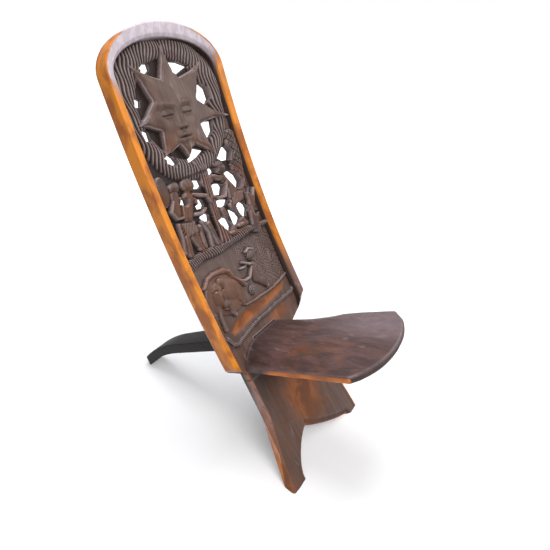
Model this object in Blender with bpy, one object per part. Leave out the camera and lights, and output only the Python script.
"""Two-plank carved chair.

The back plank is one thick, gently bowed board. A raised border frames its carved and pierced
panel, and it stands on two feet. The seat plank has a long tail, which passes through a slot in the
back plank's waist and props the chair on the floor behind. Nothing else holds the two together.

Units are metres. +Z is up, the chair faces -Y, and the origin is on the floor, under the middle of
the chair's box. The back plank is drawn flat first: X runs across it, Y along it from the level of
the slot, and Z is minus the depth behind the border's crest. It is then bowed and leant back.
"""
import math

import bmesh
import bpy
from mathutils import Vector

# Back plank, as a whole
PLANK_WIDTH = 0.300
PLANK_LEAN = math.radians(61.0)
BOW_RADIUS = 2.5
CREST_HEIGHT = 0.270
SIDE_LENGTH = 0.590
ARCH_RISE = 0.084
PANEL_DEPTH = 0.030
PANEL_THICKNESS = 0.025

# Raised border round the panel
BORDER_WIDTH = 0.026
RIGHT_BORDER_WIDTH = 0.015
BORDER_FALL = 0.010
SIDE_THICKNESS = 0.032
BACK_LAND = 0.004
LEFT_SHOULDER = 0.008
RIGHT_SHOULDER = 0.010
SHOULDER_CHAMFER = 0.035
SHOULDER_STEP = 0.001

# Waist and legs
LEFT_WAIST_REACH = 0.103
LEFT_WAIST_DROP = 0.036
RIGHT_WAIST_REACH = 0.096
RIGHT_WAIST_DROP = 0.022
LEFT_KNEE_REACH = 0.109
LEFT_KNEE_DROP = 0.135
RIGHT_KNEE_REACH = 0.154
RIGHT_KNEE_DROP = 0.234
FOOT_SPREAD = 0.310
FOOT_WIDTH = 0.048
FOOT_HEIGHT = 0.006
LEG_ARCH_RISE = 0.080
LEG_ARCH_PEAK = -0.028
LEFT_ARCH_BEND = 1.4
RIGHT_ARCH_BEND = 0.95

# Sun, carved between the sides under the arch
SUN_ACROSS = 0.002
SUN_DROP = 0.071
RING_RADIUS = 0.134
RING_WIDTH = 0.037
RING_RELIEF = 0.008
STAR_RELIEF = 0.013
FACE_WIDTH = 0.086
FACE_HEIGHT = 0.120
FACE_RELIEF = 0.022
# Tips of the hand-cut rays and the valleys after them: turn in degrees, distance from the sun's middle
RAY_TIPS = (
    (90.0, 0.118),
    (135.0, 0.126),
    (188.0, 0.112),
    (228.0, 0.121),
    (263.0, 0.113),
    (300.0, 0.122),
    (346.0, 0.132),
    (401.0, 0.128),
)
RAY_VALLEYS = (
    (114.0, 0.064),
    (161.0, 0.066),
    (207.0, 0.072),
    (244.0, 0.071),
    (278.0, 0.069),
    (323.0, 0.058),
    (372.0, 0.058),
    (428.0, 0.062),
)

# Hollow that thins the plank from behind, above the ground line of the scene
OPENWORK_THICKNESS = 0.008
HOLLOW_FOOT = 0.232
HOLLOW_MARGIN = 0.002

# Scene under the sun, and the bead that closes the carving off over the seat
TRUNK_WIDTH = 0.022
TRUNK_FOOT_WIDTH = 0.044
TRUNK_RELIEF = 0.0104
BEAD_HEIGHT = 0.046
BEAD_WIDTH = 0.009
BEAD_SLOPE = 0.022
BEAD_RELIEF = 0.004
FRINGE_RELIEF = 0.009
FRINGE = (
    (-0.128, 0.214),
    (-0.081, 0.227),
    (-0.027, 0.221),
    (0.047, 0.227),
    (0.139, 0.229),
    (0.139, 0.241),
    (0.093, 0.242),
    (0.072, 0.251),
    (0.044, 0.248),
    (0.016, 0.240),
    (-0.069, 0.246),
    (-0.128, 0.242),
)
# Raised shapes of the scene: relief, then the corners across and along
PALM = (0.0120, ((0.134, 0.436), (0.106, 0.436), (0.099, 0.404), (0.098, 0.356), (0.097, 0.322),
                 (0.111, 0.322), (0.122, 0.352), (0.131, 0.386)))
BRANCH = (0.0112, ((0.109, 0.346), (0.118, 0.345), (0.117, 0.319), (0.137, 0.321), (0.128, 0.296),
                   (0.121, 0.274), (0.114, 0.236), (0.094, 0.236), (0.104, 0.276), (0.107, 0.320)))
GOURD = (0.0130, ((-0.128, 0.352), (-0.101, 0.356), (-0.097, 0.384), (-0.104, 0.408),
                  (-0.128, 0.410)))
LEFT_FIGURE = (0.0108, ((-0.094, 0.390), (-0.070, 0.389), (-0.069, 0.374), (-0.078, 0.364),
                        (-0.086, 0.322), (-0.108, 0.326), (-0.112, 0.340), (-0.098, 0.362),
                        (-0.095, 0.376)))
SECOND_FIGURE = (0.0116, ((-0.060, 0.388), (-0.030, 0.386), (-0.029, 0.370), (-0.042, 0.358),
                          (-0.053, 0.338), (-0.064, 0.315), (-0.087, 0.317), (-0.078, 0.340),
                          (-0.066, 0.366)))
SKIRT = (0.0100, ((-0.107, 0.315), (-0.064, 0.308), (-0.026, 0.292), (-0.020, 0.236), (-0.123, 0.236)))
SITTER = (0.0114, ((0.042, 0.400), (0.072, 0.398), (0.074, 0.380), (0.066, 0.366), (0.090, 0.334),
                   (0.106, 0.325), (0.096, 0.303), (0.052, 0.298), (0.048, 0.313), (0.060, 0.336),
                   (0.054, 0.358), (0.034, 0.369), (0.036, 0.378)))
FOREARM = (0.0126, ((0.009, 0.341), (0.020, 0.333), (0.047, 0.331), (0.062, 0.350), (0.062, 0.336),
                    (0.050, 0.323), (0.018, 0.325), (0.008, 0.331)))
MOUND = (0.0062, ((-0.112, 0.130), (-0.108, 0.172), (-0.080, 0.191), (-0.044, 0.187), (-0.014, 0.152),
                  (-0.008, 0.122), (-0.036, 0.098), (-0.082, 0.098)))
KNEELER = (0.0070, ((0.040, 0.196), (0.066, 0.194), (0.066, 0.176), (0.056, 0.168), (0.057, 0.128),
                    (0.071, 0.104), (0.058, 0.102), (0.034, 0.130), (0.034, 0.164), (0.018, 0.178),
                    (0.022, 0.184), (0.040, 0.174)))
RAISED_SHAPES = (PALM, BRANCH, GOURD, LEFT_FIGURE, SECOND_FIGURE, SKIRT, SITTER, FOREARM,
                 MOUND, KNEELER)
# Pierced openings between the rays and in the scene: across, along, width, length
PIERCINGS = (
    (0.038, 0.597, 0.042, 0.019),
    (-0.044, 0.601, 0.024, 0.016),
    (0.087, 0.540, 0.040, 0.036),
    (-0.088, 0.545, 0.018, 0.014),
    (0.069, 0.471, 0.040, 0.030),
    (-0.095, 0.484, 0.018, 0.021),
    (0.093, 0.412, 0.036, 0.026),
    (0.006, 0.430, 0.038, 0.022),
    (-0.061, 0.431, 0.027, 0.024),
    (0.034, 0.387, 0.021, 0.014),
    (0.092, 0.354, 0.036, 0.040),
    (-0.015, 0.372, 0.023, 0.017),
    (0.037, 0.347, 0.031, 0.024),
    (0.120, 0.324, 0.014, 0.015),
    (-0.072, 0.349, 0.021, 0.017),
    (-0.028, 0.332, 0.022, 0.019),
    (0.036, 0.316, 0.033, 0.017),
    (0.088, 0.285, 0.031, 0.033),
    (0.122, 0.266, 0.015, 0.022),
    (0.055, 0.279, 0.027, 0.036),
    (-0.031, 0.303, 0.028, 0.016),
    (0.019, 0.271, 0.033, 0.033),
)

# Seat plank
TONGUE_WIDTH = 0.084
TONGUE_THICKNESS = 0.028
TONGUE_TILT = math.radians(3.0)
SLOT_LEVEL = 0.008
SLOT_CLEARANCE = 0.001
SHOULDER_GAP = 0.0025
TAIL_TAPER = 0.030
TAIL_DROP = 0.040
TAIL_CURVE_LENGTH = 0.180
TAIL_FLOOR_CUT = 0.006
SEAT_SIDE_GAP = 0.021
SEAT_FRONT_WIDTH = 0.250
SEAT_SIDE_LENGTH = 0.268
SEAT_FRONT_BOW = 0.037
SEAT_EDGE = 0.014
SEAT_CROWN = 0.040
SEAT_CENTRE_DROP = 0.058
SEAT_EDGE_DROP = 0.0125

# How finely the round and bowed shapes are cut
ARCH_STEPS = 24
RING_STEPS = 48
LEG_ARCH_STEPS = 12
SEAT_FRONT_STEPS = 16
PIERCING_STEPS = 8
BOW_STEP = 0.060
SEAT_STEP = 0.045
SEAT_COLUMNS = 6
FACE_SEGMENTS = 20
FACE_RINGS = 12
EMBED = 0.004
SPARE = 0.020
WELD = 0.00001
FLOOR_BLOCK = 3.0

# Colour and roughness of the two planks
BACK_COLOUR = (0.090, 0.052, 0.034)
BACK_ROUGHNESS = 0.45
SEAT_COLOUR = (0.075, 0.040, 0.028)
SEAT_ROUGHNESS = 0.40

# Values worked out from the sizes above
PLANK_HALF = PLANK_WIDTH / 2
PANEL_HALF = PLANK_HALF - BORDER_WIDTH
PANEL_BACK = PANEL_DEPTH + PANEL_THICKNESS
SUN_HEIGHT = SIDE_LENGTH - SUN_DROP
RIGHT_SHARE = RIGHT_BORDER_WIDTH / BORDER_WIDTH
LEFT_WAIST_SLOPE = LEFT_WAIST_DROP / (PLANK_HALF - LEFT_WAIST_REACH)
RIGHT_WAIST_SLOPE = RIGHT_WAIST_DROP / (PLANK_HALF - RIGHT_WAIST_REACH)
SEAT_REAR_WIDTH = 2 * (PANEL_HALF - SEAT_SIDE_GAP)
TAIL_END_WIDTH = TONGUE_WIDTH - TAIL_TAPER
TONGUE_LEAN = PLANK_LEAN + SLOT_LEVEL / BOW_RADIUS + TONGUE_TILT
SEAT_FORWARD = Vector((0.0, -math.sin(TONGUE_LEAN), math.cos(TONGUE_LEAN)))
SEAT_UP = Vector((0.0, math.cos(TONGUE_LEAN), math.sin(TONGUE_LEAN)))
SEAT_LENGTH = SEAT_SIDE_LENGTH + SEAT_FRONT_BOW


def along_at_floor(depth):
    """Distance along the plank, negative below the slot, where a surface at this depth meets z = 0."""
    cosine = (CREST_HEIGHT + BOW_RADIUS * math.cos(PLANK_LEAN)) / (BOW_RADIUS + depth)
    return BOW_RADIUS * (math.acos(cosine) - PLANK_LEAN)


def bowed(across, along, depth):
    """Point of the bowed plank in the plank's own frame, whose Y axis lies along it at the slot."""
    turn = along / BOW_RADIUS
    radius = BOW_RADIUS + depth
    return Vector((across, radius * math.sin(turn), BOW_RADIUS - radius * math.cos(turn)))


def leant(point):
    """Point of the plank's own frame, turned and raised to where the plank stands."""
    sine, cosine = math.sin(PLANK_LEAN), math.cos(PLANK_LEAN)
    back = point.y * cosine - point.z * sine
    up = point.y * sine + point.z * cosine
    return Vector((point.x, back, CREST_HEIGHT + up))


SEAT_ORIGIN = leant(bowed(0.0, SLOT_LEVEL, PANEL_DEPTH))
FOOT_LEVEL = along_at_floor(PANEL_DEPTH)
LEG_END = FOOT_LEVEL - SPARE
FOOT_TOP = FOOT_LEVEL + FOOT_HEIGHT
TAIL_END_DROP = TONGUE_THICKNESS / 2 + TAIL_DROP
TAIL_END = (SEAT_UP.z * TAIL_END_DROP - SEAT_ORIGIN.z - TAIL_FLOOR_CUT) / SEAT_FORWARD.z


def seat_half_width(forward):
    """Half the width of the seat plank's fan at a distance in front of the back plank's panel."""
    share = forward / SEAT_SIDE_LENGTH
    return (SEAT_REAR_WIDTH + (SEAT_FRONT_WIDTH - SEAT_REAR_WIDTH) * share) / 2


def seat_spread(across, forward):
    """Share, squared, of the way from the tongue's side line out to the seat plank's edge."""
    tongue = TONGUE_WIDTH / 2
    beyond = max(0.0, abs(across) - tongue) / (seat_half_width(forward) - tongue)
    return beyond ** 2


def seat_top(across, forward):
    """Height of the seat plank's upper face over the tongue's middle line."""
    if forward <= 0.0:
        into_curve = max(0.0, TAIL_END + TAIL_CURVE_LENGTH - forward) / TAIL_CURVE_LENGTH
        return TONGUE_THICKNESS / 2 - TAIL_DROP * into_curve ** 2
    share = forward / SEAT_SIDE_LENGTH
    centre = TONGUE_THICKNESS / 2 - SEAT_CENTRE_DROP * share
    edge = TONGUE_THICKNESS / 2 - SEAT_CROWN - SEAT_EDGE_DROP * share
    return centre + (edge - centre) * seat_spread(across, forward)


def seat_thickness(across, forward):
    """Thickness of the seat plank: the tongue's at the slot, thinning to its edges and its front."""
    if forward <= 0.0:
        return TONGUE_THICKNESS
    share = max(0.0, 1.0 - forward / SEAT_LENGTH)
    middle = 1.0 - min(1.0, seat_spread(across, forward))
    return SEAT_EDGE + (TONGUE_THICKNESS - SEAT_EDGE) * share * middle


def seat_place(across, forward, height):
    """World point, before the chair is centred, of a point given in the seat plank's frame."""
    return SEAT_ORIGIN + SEAT_FORWARD * forward + SEAT_UP * height + Vector((across, 0.0, 0.0))


FRONT_DROP = seat_top(0.0, SEAT_LENGTH) - SEAT_EDGE
FRONT_Y = seat_place(0.0, SEAT_LENGTH, FRONT_DROP).y
REAR_Y = seat_place(0.0, TAIL_END, seat_top(0.0, TAIL_END)).y
CENTRING = Vector((0.0, -(FRONT_Y + REAR_Y) / 2, 0.0))


def clear_scene():
    """Remove whatever objects the file opened with."""
    for item in list(bpy.data.objects):
        bpy.data.objects.remove(item, do_unlink=True)


def new_collection(name):
    """Collection of this name, linked to the scene."""
    collection = bpy.data.collections.new(name)
    bpy.context.scene.collection.children.link(collection)
    return collection


def wood(name, colour, roughness):
    """Plain wood material of one colour."""
    material = bpy.data.materials.new(name)
    material.use_nodes = True
    shader = material.node_tree.nodes["Principled BSDF"]
    shader.inputs["Base Color"].default_value = (*colour, 1.0)
    shader.inputs["Roughness"].default_value = roughness
    shader.inputs["Metallic"].default_value = 0.0
    return material


def add_object(name, data, collection):
    """Object for a mesh or a curve, in a collection."""
    item = bpy.data.objects.new(name, data)
    collection.objects.link(item)
    return item


def as_mesh(item, collection):
    """Mesh object with the same place and evaluated shape as a curve object, which is removed."""
    depsgraph = bpy.context.evaluated_depsgraph_get()
    mesh = bpy.data.meshes.new_from_object(item.evaluated_get(depsgraph))
    shape = bmesh.new()
    shape.from_mesh(mesh)
    bmesh.ops.remove_doubles(shape, verts=shape.verts, dist=WELD)
    bmesh.ops.recalc_face_normals(shape, faces=shape.faces)
    shape.to_mesh(mesh)
    shape.free()
    name, place = item.name, item.matrix_world.copy()
    bpy.data.objects.remove(item)
    solid = add_object(name, mesh, collection)
    solid.matrix_world = place
    return solid


def slab(name, outlines, front, back, collection):
    """Flat outlines, holes among them, as a solid between two depths of the flat plank."""
    curve = bpy.data.curves.new(name, "CURVE")
    curve.dimensions = "2D"
    curve.fill_mode = "BOTH"
    curve.extrude = (back - front) / 2
    for outline in outlines:
        spline = curve.splines.new("POLY")
        spline.points.add(len(outline) - 1)
        for point, (across, along) in zip(spline.points, outline):
            point.co = (across, along, 0.0, 1.0)
        spline.use_cyclic_u = True
    item = add_object(name, curve, collection)
    item.location.z = -(front + back) / 2
    bpy.context.view_layer.update()
    return as_mesh(item, collection)


def loft(name, sections, collection):
    """Solid through a row of closed sections with equal numbers of points, capped at both ends."""
    shape = bmesh.new()
    rings = []
    for section in sections:
        corners = [shape.verts.new(point) for point in section]
        rings.append([shape.edges.new((a, b)) for a, b in zip(corners, corners[1:] + corners[:1])])
    for ring, following in zip(rings, rings[1:]):
        bmesh.ops.bridge_loops(shape, edges=ring + following)
    for ring in (rings[0], rings[-1]):
        bmesh.ops.contextual_create(shape, geom=ring)
    bmesh.ops.recalc_face_normals(shape, faces=shape.faces)
    mesh = bpy.data.meshes.new(name)
    shape.to_mesh(mesh)
    shape.free()
    return add_object(name, mesh, collection)


def combine(target, operand, operation):
    """Join an operand to a target, or cut it out, and remove the operand."""
    modifier = target.modifiers.new(operand.name, "BOOLEAN")
    modifier.object = operand
    modifier.operation = operation
    modifier.solver = "EXACT"
    depsgraph = bpy.context.evaluated_depsgraph_get()
    mesh = bpy.data.meshes.new_from_object(target.evaluated_get(depsgraph))
    target.modifiers.clear()
    target.data = mesh
    bpy.data.objects.remove(operand)


def cut_rows(shape, start, stop, count, axis):
    """Divide a mesh by evenly spaced planes square to an axis."""
    for step in range(1, count):
        middle = Vector((0.0, 0.0, 0.0))
        middle[axis] = start + (stop - start) * step / count
        normal = Vector((0.0, 0.0, 0.0))
        normal[axis] = 1.0
        everything = shape.verts[:] + shape.edges[:] + shape.faces[:]
        bmesh.ops.bisect_plane(shape, geom=everything, plane_co=middle, plane_no=normal, dist=WELD)


def border_share(angle):
    """Share of the full border's width at an angle round the arch: narrow at the right side only."""
    if angle >= math.pi / 2:
        return 1.0
    return RIGHT_SHARE + (1.0 - RIGHT_SHARE) * math.sin(angle) ** 1.5


def arch_path(inset):
    """Border line from the right shoulder, over the arch, to the left shoulder."""
    right = inset * RIGHT_SHARE
    path = [(PLANK_HALF - right, RIGHT_SHOULDER - right * RIGHT_WAIST_SLOPE)]
    for step in range(ARCH_STEPS + 1):
        angle = math.pi * step / ARCH_STEPS
        inward = inset * border_share(angle)
        across = (PLANK_HALF - inward) * math.cos(angle)
        path.append((across, SIDE_LENGTH + (ARCH_RISE - inward) * math.sin(angle)))
    path.append((inset - PLANK_HALF, LEFT_SHOULDER - inset * LEFT_WAIST_SLOPE))
    return path


def circle(radius, steps, centre):
    """Points of a circle round a centre of the flat plank."""
    angles = [2 * math.pi * step / steps for step in range(steps)]
    return [(centre[0] + radius * math.cos(a), centre[1] + radius * math.sin(a)) for a in angles]


def leg_arch(inner):
    """Arch between the feet, from the left foot's inner side over its peak to the right foot's."""
    rise = LEG_ARCH_RISE - FOOT_HEIGHT
    arch = []
    for step in range(LEG_ARCH_STEPS + 1):
        angle = math.pi * step / LEG_ARCH_STEPS
        end, bend = (-inner, LEFT_ARCH_BEND) if 2 * step < LEG_ARCH_STEPS else (inner, RIGHT_ARCH_BEND)
        reach = abs(math.cos(angle)) ** (2 / bend)
        lift = abs(math.sin(angle)) ** (2 / bend)
        arch.append((LEG_ARCH_PEAK + (end - LEG_ARCH_PEAK) * reach, FOOT_TOP + rise * lift))
    return arch


def panel_outline():
    """Outline of the panel with its waist and legs, from the right shoulder round to the right waist.

    The shoulders lie a step below the ends of the border.
    """
    foot = FOOT_SPREAD / 2
    inner = foot - FOOT_WIDTH
    outline = arch_path(BORDER_WIDTH - EMBED)
    for end in (0, -1):
        outline[end] = (outline[end][0], outline[end][1] - SHOULDER_STEP)
    outline.append((-LEFT_WAIST_REACH, LEFT_SHOULDER - LEFT_WAIST_DROP))
    outline.append((-LEFT_KNEE_REACH, -LEFT_KNEE_DROP))
    outline.append((-foot, FOOT_TOP))
    outline.append((-foot, LEG_END))
    outline.append((-inner, LEG_END))
    outline.extend(leg_arch(inner))
    outline.append((inner, LEG_END))
    outline.append((foot, LEG_END))
    outline.append((foot, FOOT_TOP))
    outline.append((RIGHT_KNEE_REACH, -RIGHT_KNEE_DROP))
    outline.append((RIGHT_WAIST_REACH, RIGHT_SHOULDER - RIGHT_WAIST_DROP))
    return outline


def border_sections():
    """Sections of the border along its path: crest, sloping face, panel side, back and chamfer."""
    rows = [
        (0.0, 0.0),
        (BORDER_WIDTH, BORDER_FALL),
        (BORDER_WIDTH, PANEL_BACK),
        (BORDER_WIDTH - BACK_LAND, PANEL_BACK),
        (0.0, SIDE_THICKNESS),
    ]
    paths = [arch_path(inset) for inset, _ in rows]
    depths = [depth for _, depth in rows]
    return [[(*spot, -depth) for spot, depth in zip(spots, depths)] for spots in zip(*paths)]


def star_outline(centre):
    """Outline of the sun's rays."""
    outline = []
    for corner in [corner for pair in zip(RAY_TIPS, RAY_VALLEYS) for corner in pair]:
        angle = math.radians(corner[0])
        outline.append((centre[0] + corner[1] * math.cos(angle), centre[1] + corner[1] * math.sin(angle)))
    return outline


def hollow_outline():
    """Outline of the hollow behind the pierced part of the panel."""
    arch = arch_path(BORDER_WIDTH + HOLLOW_MARGIN)[1:-1]
    return arch + [(arch[-1][0], HOLLOW_FOOT), (arch[0][0], HOLLOW_FOOT)]


def band_outline(level, width, slope):
    """Band from side to side of the panel, lower by the slope at its left end than at its right."""
    reach = PANEL_HALF + EMBED
    left = level - slope / 2
    right = level + slope / 2
    return [
        (-reach, left - width / 2),
        (reach, right - width / 2),
        (reach, right + width / 2),
        (-reach, left + width / 2),
    ]


def add_relief(plank, collection):
    """Join the carved relief to the plank."""
    centre = (SUN_ACROSS, SUN_HEIGHT)
    root = PANEL_DEPTH + EMBED
    inner = RING_RADIUS - RING_WIDTH
    rings = [circle(RING_RADIUS, RING_STEPS, centre), circle(inner, RING_STEPS, centre)]
    combine(plank, slab("ring", rings, PANEL_DEPTH - RING_RELIEF, root, collection), "UNION")
    star = star_outline(centre)
    combine(plank, slab("star", [star], PANEL_DEPTH - STAR_RELIEF, root, collection), "UNION")
    bpy.ops.mesh.primitive_uv_sphere_add(segments=FACE_SEGMENTS, ring_count=FACE_RINGS, radius=1.0)
    face = bpy.context.object
    face.name = "face"
    face.scale = (FACE_WIDTH / 2, FACE_HEIGHT / 2, FACE_RELIEF)
    face.location = (SUN_ACROSS, SUN_HEIGHT, -PANEL_DEPTH)
    bpy.context.view_layer.update()
    combine(plank, face, "UNION")
    combine(plank, slab("fringe", [FRINGE], PANEL_DEPTH - FRINGE_RELIEF, root, collection), "UNION")
    trunk_top = SUN_HEIGHT - RING_RADIUS + RING_WIDTH / 2
    trunk = [
        (-TRUNK_FOOT_WIDTH / 2, HOLLOW_FOOT),
        (TRUNK_FOOT_WIDTH / 2, HOLLOW_FOOT),
        (SUN_ACROSS + TRUNK_WIDTH / 2, trunk_top),
        (SUN_ACROSS - TRUNK_WIDTH / 2, trunk_top),
    ]
    combine(plank, slab("trunk", [trunk], PANEL_DEPTH - TRUNK_RELIEF, root, collection), "UNION")
    for relief, outline in RAISED_SHAPES:
        combine(plank, slab("shape", [outline], PANEL_DEPTH - relief, root, collection), "UNION")
    bead = band_outline(BEAD_HEIGHT, BEAD_WIDTH, BEAD_SLOPE)
    combine(plank, slab("bead", [bead], PANEL_DEPTH - BEAD_RELIEF, root, collection), "UNION")


def chamfer_shoulder(plank, collection):
    """Cut the right end of the border back, from its crest down to the panel."""
    inner = PLANK_HALF - RIGHT_BORDER_WIDTH - EMBED
    outer = PLANK_HALF + SPARE
    size = SHOULDER_CHAMFER + PANEL_DEPTH
    block = [(inner, -size), (outer, -size), (outer, 0.0), (inner, 0.0)]
    cutter = slab("shoulder", [block], -size, size, collection)
    cutter.location = (0.0, RIGHT_SHOULDER, -PANEL_DEPTH)
    cutter.rotation_euler.x = -math.atan2(SHOULDER_CHAMFER, PANEL_DEPTH)
    bpy.context.view_layer.update()
    combine(plank, cutter, "DIFFERENCE")


def cut_openings(plank, collection):
    """Cut the slot, the hollow behind the carving and the pierced openings."""
    through = PANEL_BACK + SPARE
    half_width = TONGUE_WIDTH / 2 + SLOT_CLEARANCE
    half_height = TONGUE_THICKNESS / 2 + SLOT_CLEARANCE
    opening = [
        (-half_width, -half_height),
        (half_width, -half_height),
        (half_width, half_height),
        (-half_width, half_height),
    ]
    slot = slab("slot", [opening], -through, through, collection)
    slot.location = (0.0, SLOT_LEVEL, -PANEL_DEPTH)
    slot.rotation_euler.x = TONGUE_TILT
    bpy.context.view_layer.update()
    combine(plank, slot, "DIFFERENCE")
    floor = PANEL_DEPTH + OPENWORK_THICKNESS
    combine(plank, slab("hollow", [hollow_outline()], floor, through, collection), "DIFFERENCE")
    outlines = []
    for across, along, width, length in PIERCINGS:
        oval = circle(1.0, PIERCING_STEPS, (0.0, 0.0))
        outlines.append([(across + x * width / 2, along + y * length / 2) for x, y in oval])
    combine(plank, slab("piercings", outlines, 0.0, through, collection), "DIFFERENCE")


def bow(plank):
    """Divide the flat plank into rows and bow it."""
    shape = bmesh.new()
    shape.from_mesh(plank.data)
    top = SIDE_LENGTH + ARCH_RISE
    cut_rows(shape, LEG_END, top, round((top - LEG_END) / BOW_STEP), 1)
    bmesh.ops.triangulate(shape, faces=shape.faces)
    bmesh.ops.remove_doubles(shape, verts=shape.verts, dist=WELD)
    for vertex in shape.verts:
        vertex.co = bowed(vertex.co.x, vertex.co.y, -vertex.co.z)
    shape.to_mesh(plank.data)
    shape.free()


def cut_at_floor(item, floor):
    """Cut an object's underside flat where it stands on the floor."""
    modifier = item.modifiers.new("floor", "BOOLEAN")
    modifier.object = floor
    modifier.operation = "DIFFERENCE"
    modifier.solver = "EXACT"


def make_back_plank(collection, floor):
    """Back plank: panel, legs and border in one piece, carved, pierced, bowed and leant back."""
    plank = slab("back_plank", [panel_outline()], PANEL_DEPTH, PANEL_BACK, collection)
    place = plank.matrix_world.copy()
    plank.data.transform(place)
    plank.location.z = 0.0
    bpy.context.view_layer.update()
    combine(plank, loft("border", border_sections(), collection), "UNION")
    chamfer_shoulder(plank, collection)
    add_relief(plank, collection)
    cut_openings(plank, collection)
    bow(plank)
    plank.data.materials.clear()
    plank.data.materials.append(wood("carved_wood", BACK_COLOUR, BACK_ROUGHNESS))
    plank.location = CENTRING + Vector((0.0, 0.0, CREST_HEIGHT))
    plank.rotation_euler.x = PLANK_LEAN
    cut_at_floor(plank, floor)


def seat_outline():
    """Plan of the seat plank, in across and forward: tail, shoulders, fan and bowed front."""
    tongue = TONGUE_WIDTH / 2
    half = [(TAIL_END_WIDTH / 2, TAIL_END), (tongue, -PANEL_THICKNESS), (tongue, SHOULDER_GAP)]
    half.append((SEAT_REAR_WIDTH / 2, SHOULDER_GAP))
    chord = SEAT_FRONT_WIDTH / 2
    radius = (chord ** 2 + SEAT_FRONT_BOW ** 2) / (2 * SEAT_FRONT_BOW)
    opening = math.asin(chord / radius)
    for step in range(SEAT_FRONT_STEPS // 2):
        angle = opening * (1.0 - 2 * step / SEAT_FRONT_STEPS)
        half.append((radius * math.sin(angle), SEAT_LENGTH - radius * (1.0 - math.cos(angle))))
    other = [(-across, forward) for across, forward in reversed(half)]
    return half + [(0.0, SEAT_LENGTH)] + other


def make_seat_plank(collection, floor):
    """Seat plank: its plan as a slab, divided into a grid and given its crown, dish and curved tail."""
    plank = slab("seat_plank", [seat_outline()], 0.0, TONGUE_THICKNESS, collection)
    shape = bmesh.new()
    shape.from_mesh(plank.data)
    widest = SEAT_FRONT_WIDTH / 2
    cut_rows(shape, -widest, widest, SEAT_COLUMNS, 0)
    cut_rows(shape, TAIL_END, SHOULDER_GAP, round(-TAIL_END / SEAT_STEP), 1)
    cut_rows(shape, SHOULDER_GAP, SEAT_LENGTH, round(SEAT_LENGTH / SEAT_STEP), 1)
    bmesh.ops.triangulate(shape, faces=shape.faces)
    for vertex in shape.verts:
        across, forward = vertex.co.x, vertex.co.y
        height = seat_top(across, forward)
        if vertex.co.z < 0.0:
            height -= seat_thickness(across, forward)
        vertex.co = (across, -forward, height)
    bmesh.ops.reverse_faces(shape, faces=shape.faces)
    shape.to_mesh(plank.data)
    shape.free()
    plank.data.materials.clear()
    plank.data.materials.append(wood("seat_wood", SEAT_COLOUR, SEAT_ROUGHNESS))
    plank.location = CENTRING + SEAT_ORIGIN
    plank.rotation_euler.x = TONGUE_LEAN - math.pi / 2
    cut_at_floor(plank, floor)


def make_floor(collection):
    """Block under the floor level, which cuts the feet and the tail flat."""
    middle = (0.0, 0.0, -FLOOR_BLOCK / 2)
    bpy.ops.mesh.primitive_cube_add(size=FLOOR_BLOCK, location=middle)
    floor = bpy.context.object
    floor.name = "floor_cutter"
    floor.hide_render = True
    floor.display_type = "WIRE"
    for home in list(floor.users_collection):
        home.objects.unlink(floor)
    collection.objects.link(floor)
    return floor


def main():
    """Build the chair."""
    clear_scene()
    parts = new_collection("birthing_chair")
    cutters = new_collection("cutters")
    floor = make_floor(cutters)
    make_back_plank(parts, floor)
    make_seat_plank(parts, floor)


main()
